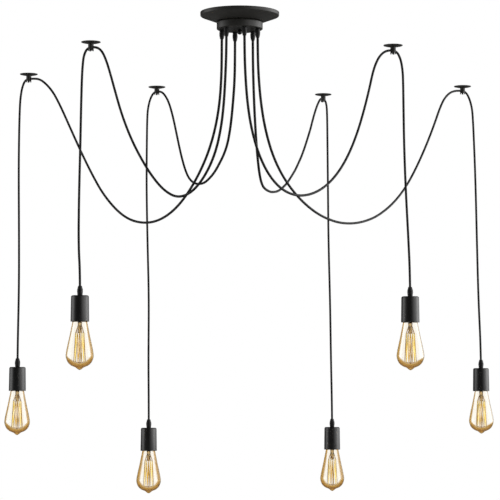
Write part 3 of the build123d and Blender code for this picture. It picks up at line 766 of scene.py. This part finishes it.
def gripMesh(name, grip, base, up):  # up is 1 where the cord leaves upwards, -1 downwards
    waist = base + up * grip["length"] * grip["waistShare"]
    low, high = waist - up * grip["groove"] / 2, waist + up * grip["groove"] / 2
    stemEnd, tip = base - up * grip["stemLength"], base + up * grip["length"]
    line = roundedLine(
        [
            (grip["bore"], stemEnd),
            (grip["stem"], stemEnd),
            (grip["stem"], base),
            (grip["base"], base, grip["edge"]),
            (grip["waist"], low, grip["edge"]),
            (grip["waist"] - grip["grooveDepth"], low),
            (grip["waist"] - grip["grooveDepth"], high),
            (grip["waist"], high, grip["edge"]),
            (grip["tip"], tip, grip["edge"]),
            (grip["bore"], tip),
        ]
    )
    return turned(name, line[::-1] if up > 0 else line, grip["sides"], closed=True)


gripPlaces = [
    aboutAxis(cordSizes["gripCircle"], radians(pendant["gripAngle"]), 0) for pendant in pendants
]
form = softened(placed(gripMesh("canopyGrips", canopyGrip, cupFloor, -1), gripPlaces))
piece = addObject("canopyGrips", form, mouldedNylon, "ceiling_set")
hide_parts("canopy_grips")

# Hook plates: pressed shallow domes
plate = {
    "radius": 0.0225, "edge": 0.0016, "height": 0.0046, "bore": 0.0041,
    "rise": 0.0005,  # how far the dome bulges out of a straight cone
    "crown": 0.0065,  # the radius at which the dome meets the stud
    "backCorner": 0.0003, "faceCorner": 0.0006,
    "domeStart": (0.001, 0.0003),  # in from the rim, and below its edge
    "steps": 6, "sides": 64,
}
rimInset, rimDrop = plate["domeStart"]
dome = [
    (plate["radius"] - rimInset, -plate["edge"] - rimDrop),
    (
        (plate["radius"] + plate["crown"]) / 2,
        -(plate["height"] + plate["edge"]) / 2 - plate["rise"],
    ),
    (plate["crown"], -plate["height"]),
]
plateLine = roundedLine(
    [
        (plate["bore"], 0),
        (plate["radius"], 0, plate["backCorner"]),
        (plate["radius"], -plate["edge"], plate["faceCorner"]),
    ]
)
plateLine += [tuple(point) for point in eased(dome, plate["steps"])]
plateLine.append((plate["bore"], -plate["height"]))
plateMesh = turned("hookPlates", plateLine, plate["sides"], closed=True)
form = softened(placed(plateMesh, [(*pendant["hook"], 0) for pendant in pendants]))
piece = addObject("hookPlates", form, canopyCoat, "ceiling_set")
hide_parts("hook_plates")

# Lamp holder: a drawn steel shell, open at its mouth, with a soft top edge
holder = {
    "height": 0.06, "topRadius": 0.0205, "mouthRadius": 0.0214, "wall": 0.0014,
    "edge": 0.0036, "mouthEdge": 0.0005, "bore": 0.00495, "sides": 96,
}
wall = holder["wall"]
holderTop = -lampGrip["length"]
holderMouth = holderTop - holder["height"]
holderLine = roundedLine(
    [
        (holder["bore"], holderTop),
        (holder["topRadius"], holderTop, holder["edge"]),
        (holder["mouthRadius"], holderMouth, holder["mouthEdge"]),
        (holder["mouthRadius"] - wall, holderMouth, holder["mouthEdge"]),
        (holder["topRadius"] - wall, holderTop - wall, holder["edge"] - wall),
        (holder["bore"], holderTop - wall),
    ]
)
holderForm = softened(turned("holderForm", holderLine, holder["sides"], closed=True))
lampGripForm = softened(gripMesh("lampGripForm", lampGrip, holderTop, 1))

for number, pendant in enumerate(pendants, start=1):
    for form, name, material, slot in (
        (holderForm, "holder_shell", holderCoat, "black_metal"),
        (lampGripForm, "lamp_grip", mouldedNylon, "black_plastic"),
    ):
        mesh = form.copy()
        mesh.transform(Matrix.Translation(pendant["lamp"]))
        piece = addObject(f"{name.replace('_', '')}_{number}", mesh, material, f"pendant_{number}")
        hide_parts(f"{name}_{number}")
print("turned pieces made")

# Bulb: a blown glass envelope of even wall, drawn from its half outline below the holder's mouth
bulb = {
    "radius": 0.032,
    "depth": 0.111,  # the tip below the mouth
    "wall": 0.001,
    "neckRadius": 0.012,
    "neckTop": 0.013,  # above the mouth
    "neckFoot": 0.0038,
    "sideShares": [  # of the radius, and of the depth below the mouth
        (0.525, 0.0), (0.638, 0.165), (0.756, 0.331), (0.884, 0.496), (0.969, 0.62), (1.0, 0.71),
        (0.94, 0.785), (0.83, 0.848), (0.65, 0.898), (0.5, 0.922), (0.31, 0.944), (0.22, 0.962),
        (0.14, 0.982), (0.06, 0.995), (0.0, 1.0),
    ],
    "sides": 72,
    "steps": 5,
    "lustreFrom": 0.32,  # how slantingly the wall is seen where the amber starts
    "lustreTo": 0.52,  # and where it is full
    "pooled": 0.18,  # the amber round the tip, the same on every bulb
    "pooledFrom": 0.72,  # as shares of the depth below the mouth
    "pooledTo": 0.8,
}


def glassLine(inset):  # the envelope's half outline, taken in by inset
    radius, depth = bulb["radius"] - inset, bulb["depth"] - inset
    neck = bulb["neckRadius"] - inset
    side = eased([(r * radius, -z * depth) for r, z in bulb["sideShares"]], bulb["steps"])
    return [(neck, bulb["neckTop"]), (neck, bulb["neckFoot"])] + [tuple(p) for p in side]


# Amber soda glass, blown thin: clear where it is looked straight through and amber where the line of
# sight runs along the wall, at the outline and the tip. On one side of each bulb the amber reaches
# further in, a painted reflection that differs from lamp to lamp with where it hangs. Its IOR and the
# stem's are below the real ones, which draw black outlines.
amberGlass, tree, shader = newMaterial(
    "amberSodaGlass", {"Roughness": 0.0, "IOR": 1.35, "Transmission Weight": 1.0}
)
slant = addNode(tree, "ShaderNodeLayerWeight", {"Blend": 0.5})
# Painted reflection, read from the attribute below: the amber reaches further in from one side of each
# bulb.
fumed = addNode(tree, "ShaderNodeAttribute", {"attribute_name": "fumed"})
reach = addNode(
    tree, "ShaderNodeMath", {"operation": "ADD"}, {0: slant.outputs["Facing"], 1: fumed.outputs["Fac"]}
)
lustre = addNode(
    tree,
    "ShaderNodeMapRange",
    {
        "From Min": bulb["lustreFrom"], "From Max": bulb["lustreTo"],
        "interpolation_type": "SMOOTHSTEP",
    },
    {"Value": reach.outputs[0]},
)
honey = addNode(tree, "ShaderNodeValToRGB", None, {"Fac": lustre.outputs[0]})
honey.color_ramp.elements[0].color = fromHex("#fefbf5")
honey.color_ramp.elements[1].color = fromHex("#bf9850")
tree.links.new(honey.outputs[0], shader.inputs["Base Color"])

outer = glassLine(0)
inner = glassLine(bulb["wall"])
glassForm = turned("glassForm", outer + inner[::-1], bulb["sides"], closed=True)

# Filament cage and what carries it: a lead glass stem with its flare, a support wire, hooks and
# two lead-in wires
cage = {
    "stemLength": 0.04,
    "flareRadius": 0.0106,
    "flareHeight": 0.0106,  # where the flare has come in to the stem's own radius
    "flareLip": 0.0012,
    "flareWaist": (0.0072, 0.005),  # its radius, and how far below the flare's top
    "stemRadius": 0.005,
    "pinchRadius": 0.0034,
    "pinchRise": 0.01,  # where the pinch starts, above the stem's foot
    "footRise": 0.001,
    "stemTipRadius": 0.0024,
    "stemSides": 40,
    "cageTop": -0.026,
    "cageFoot": -0.092,
    "topRadius": 0.010,
    "footRadius": 0.014,
    "strands": 12,
    "strandRadius": 0.00057,
    "hookRadius": 0.0004,
    "hookRoot": (0.0042, 0.018),  # the upper hooks' start: its radius, and above the stem's foot
    "footHookDrop": 0.003,  # the lower hooks' start, below the cage's foot
    "supportRadius": 0.0007,
    "supportDrop": 0.004,  # the support's end, below the cage's foot
    "leadRadius": 0.0005,
    "leadSpacing": 0.0026,  # each lead's distance from the axis
}

# Stem glass: lead glass with a smoky amber cast
stemGlass, tree, shader = newMaterial(
    "smokyLeadGlass",
    {"Base Color": fromHex("#bfa678"), "Roughness": 0.05, "IOR": 1.3, "Transmission Weight": 1.0},
)

# Filament strands, gold, some yellow and some a dark gold, with a faint painted glow that lights them
# in place of the light that the glass keeps from them
goldWire, tree, shader = newMaterial(
    "goldFilamentWire", {"Metallic": 0.2, "Roughness": 0.5, "Emission Strength": 0.55}
)
strand = addNode(tree, "ShaderNodeNewGeometry")
toneAndPaintedGlow = addNode(tree, "ShaderNodeValToRGB", None, {"Fac": strand.outputs["Random Per Island"]})
toneAndPaintedGlow.color_ramp.elements[0].color = fromHex("#553a0a")
toneAndPaintedGlow.color_ramp.elements[1].color = fromHex("#fff08a")
toneAndPaintedGlow.color_ramp.elements.new(0.45).color = fromHex("#dcb03a")
tree.links.new(toneAndPaintedGlow.outputs[0], shader.inputs["Base Color"])
tree.links.new(toneAndPaintedGlow.outputs[0], shader.inputs["Emission Color"])

# Support wire, hooks and lead-in wires: molybdenum and nickel, which the heat and the amber glass
# tint a dull gold
darkWire, tree, shader = newMaterial("heatDarkenedWire", {"Metallic": 0.2, "Roughness": 0.5})
mottled(tree, shader, "#b08432", "#dcb356", grainWidth=3, detail=2)


def radialRepeat():  # copies a shape round Z; its inputs are the shape, how many, and a material
    tree = bpy.data.node_groups.new("radialRepeat", "GeometryNodeTree")
    tree.interface.new_socket("Shape", in_out="INPUT", socket_type="NodeSocketGeometry")
    tree.interface.new_socket("Count", in_out="INPUT", socket_type="NodeSocketInt")
    tree.interface.new_socket("Material", in_out="INPUT", socket_type="NodeSocketMaterial")
    tree.interface.new_socket("Result", in_out="OUTPUT", socket_type="NodeSocketGeometry")
    given = addNode(tree, "NodeGroupInput")
    points = addNode(tree, "GeometryNodePoints", None, {"Count": given.outputs["Count"]})
    index = addNode(tree, "GeometryNodeInputIndex")
    share = addNode(
        tree,
        "ShaderNodeMath",
        {"operation": "DIVIDE"},
        {0: index.outputs[0], 1: given.outputs["Count"]},
    )
    angle = addNode(
        tree, "ShaderNodeMath", {"operation": "MULTIPLY", 1: 2 * pi}, {0: share.outputs[0]}
    )
    rotation = addNode(tree, "ShaderNodeCombineXYZ", None, {"Z": angle.outputs[0]})
    copies = addNode(
        tree,
        "GeometryNodeInstanceOnPoints",
        None,
        {
            "Points": points.outputs[0],
            "Instance": given.outputs["Shape"],
            "Rotation": rotation.outputs[0],
        },
    )
    real = addNode(tree, "GeometryNodeRealizeInstances", None, {"Geometry": copies.outputs[0]})
    painted = addNode(
        tree,
        "GeometryNodeSetMaterial",
        None,
        {"Geometry": real.outputs[0], "Material": given.outputs["Material"]},
    )
    addNode(tree, "NodeGroupOutput", None, {"Result": painted.outputs[0]})
    return tree


roundAbout = radialRepeat()


def repeated(name, mesh, count, material):  # the mesh copied round Z by the tree above
    carrier = bpy.data.objects.new(name, mesh)
    bpy.context.collection.objects.link(carrier)
    modifier = carrier.modifiers.new("roundAbout", "NODES")
    modifier.node_group = roundAbout
    sockets = {item.name: item.identifier for item in roundAbout.interface.items_tree}
    modifier[sockets["Count"]] = count
    modifier[sockets["Material"]] = material
    bpy.context.view_layer.update()
    evaluated = carrier.evaluated_get(bpy.context.evaluated_depsgraph_get())
    made = bpy.data.meshes.new_from_object(evaluated)
    carrier.modifiers.remove(modifier)
    bpy.data.objects.remove(carrier)
    return made


def wire(name, points, radius, sides=8):  # straight from point to point
    return cordTube(name, [Vector(p) for p in points], radius, sides)[0]


halfTurn = pi / cage["strands"]
topPoint = (cage["topRadius"], 0, cage["cageTop"])
footPoint = aboutAxis(cage["footRadius"], halfTurn, cage["cageFoot"])
nextTop = aboutAxis(cage["topRadius"], 2 * halfTurn, cage["cageTop"])
stemTop = bulb["neckTop"]
stemFoot = stemTop - cage["stemLength"]
strandPair = joined(
    "strandPair",
    [
        wire("strand", [topPoint, footPoint], cage["strandRadius"]),
        wire("strand", [footPoint, nextTop], cage["strandRadius"]),
    ],
)
filamentForm = repeated("filamentForm", strandPair, cage["strands"], goldWire)
rootRadius, rootRise = cage["hookRoot"]
upperHook = [(rootRadius, 0, stemFoot + rootRise), topPoint]
lowerHook = [(0, 0, cage["cageFoot"] - cage["footHookDrop"]), footPoint]
hookPair = joined(
    "hookPair", [wire("hook", line, cage["hookRadius"]) for line in (upperHook, lowerHook)]
)
hooks = repeated("hooks", hookPair, cage["strands"], darkWire)
supportLine = [(0, 0, stemFoot), (0, 0, cage["cageFoot"] - cage["supportDrop"])]
wires = [hooks, wire("support", supportLine, cage["supportRadius"])]
for side in (-1, 1):
    leadX = side * cage["leadSpacing"]
    leadLine = [
        (leadX, 0, stemTop),
        (leadX, 0, stemFoot + cage["footRise"]),
        (side * cage["topRadius"], 0, cage["cageTop"]),
    ]
    wires.append(wire("lead", leadLine, cage["leadRadius"]))
supportForm = joined("supportForm", wires)
waistRadius, waistDrop = cage["flareWaist"]
stemForm = turned(
    "stemForm",
    [
        (0, stemTop),
        (cage["flareRadius"], stemTop),
        (cage["flareRadius"], stemTop - cage["flareLip"]),
        (waistRadius, stemTop - waistDrop),
        (cage["stemRadius"], stemTop - cage["flareHeight"]),
        (cage["stemRadius"], stemFoot + cage["pinchRise"]),
        (cage["pinchRadius"], stemFoot + cage["footRise"]),
        (cage["stemTipRadius"], stemFoot),
        (0, stemFoot),
    ],
    cage["stemSides"],
)

for number, pendant in enumerate(pendants, start=1):
    lampX, lampY, lampZ = pendant["lamp"]
    place = Matrix.Translation((lampX, lampY, lampZ + holderMouth))
    for form, name, material, slot in (
        (glassForm, "glass", amberGlass, "amber_glass"),
        (filamentForm, "filament", goldWire, "gold_wire"),
        (supportForm, "support", darkWire, "plated_steel"),
        (stemForm, "stem", stemGlass, "amber_glass"),
    ):
        mesh = form.copy()
        if name == "glass":
            # Painted reflection: the amber reaches further in from one side of each bulb, as the lamp's
            # pair gives, and round the tip it fades to the same amber on every bulb.
            left, right = pendant["lustre"]
            fumed = mesh.attributes.new("fumed", "FLOAT", "POINT")
            for vertex, amount in zip(mesh.vertices, fumed.data):
                across = (vertex.co.x / bulb["radius"] + 1) / 2
                fall = -vertex.co.z / bulb["depth"] - bulb["pooledFrom"]
                pooled = min(max(fall / (bulb["pooledTo"] - bulb["pooledFrom"]), 0), 1)
                side = left + (right - left) * across
                amount.value = side + (bulb["pooled"] - side) * pooled
        mesh.transform(place)
        piece = addObject(f"{name}_{number}", mesh, material, f"bulb_{number}")
        if name in ("glass", "filament"):
            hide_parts(f"bulb_{name}_{number}")
print("bulbs made")
